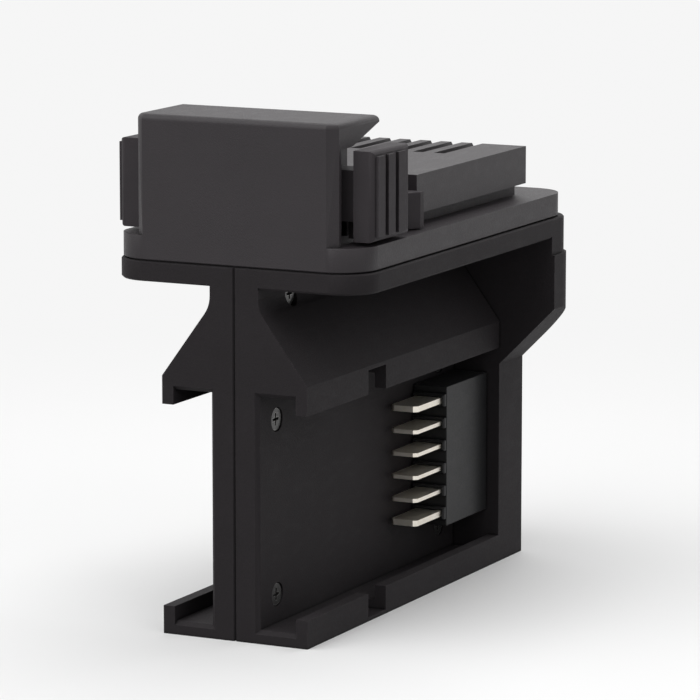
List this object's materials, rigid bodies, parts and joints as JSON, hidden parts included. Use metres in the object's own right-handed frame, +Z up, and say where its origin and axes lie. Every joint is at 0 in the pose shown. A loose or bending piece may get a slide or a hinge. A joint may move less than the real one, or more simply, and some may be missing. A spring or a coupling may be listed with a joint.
{
  "type": "dual battery adapter",
  "caption": "Moulded adapter with a slide-in head and sprung latch buttons, holding a slide-on battery pack on each side of its stem.",
  "frame": {"origin": "middle of the foot of the body, on the surface that it stands on", "axes": "+X to the right latch button, +Y from the flat front to the end wall, +Z up to the head"},
  "size_m": [0.0572, 0.102, 0.1035],
  "materials": {
    "housing": "fine moulded texture",
    "latch": "satin",
    "insulator": "satin",
    "contact": "tinned",
    "spring_steel": "bright wire",
    "screw_steel": "blackened",
    "board": "lacquered",
    "chip": "matt",
    "ceramic": "matt",
    "wire_red": "smooth",
    "wire_black": "smooth",
    "wire_white": "smooth"
  },
  "bodies": {
    "housing": {"body_half_left": "housing", "body_half_right": "housing", "head_cover": "housing", "latch_guide": "insulator", "latch_spring_left": "spring_steel", "latch_spring_right": "spring_steel", "top_terminal_block": "insulator", "left_terminal_block": "insulator", "right_terminal_block": "insulator", "top_clip_positive": "contact", "top_clip_negative": "contact", "top_clips_data": "contact", "left_blade_positive": "contact", "left_blade_negative": "contact", "left_blades_data": "contact", "right_blade_positive": "contact", "right_blade_negative": "contact", "right_blades_data": "contact", "power_board": "board", "board_mosfets": "chip", "board_controller": "chip", "board_fuses": "ceramic", "board_capacitors": "ceramic", "supply_wire_positive": "wire_red", "supply_wire_negative": "wire_black", "data_wires": "wire_white", "head_screws": "screw_steel", "body_screws": "screw_steel"},
    "latch_left": {"latch_button_left": "latch"},
    "latch_right": {"latch_button_right": "latch"}
  },
  "joints": [
    {"name": "left_latch_press", "type": "slide", "parent": "housing", "child": "latch_left", "axis": [1, 0, 0], "range_m": [0, 0.0035], "stiffness_N_per_m": 900, "springref_m": -0.003, "deforming": ["latch_spring_left"]},
    {"name": "right_latch_press", "type": "slide", "parent": "housing", "child": "latch_right", "axis": [-1, 0, 0], "range_m": [0, 0.0035], "stiffness_N_per_m": 900, "springref_m": -0.003, "deforming": ["latch_spring_right"]}
  ]
}
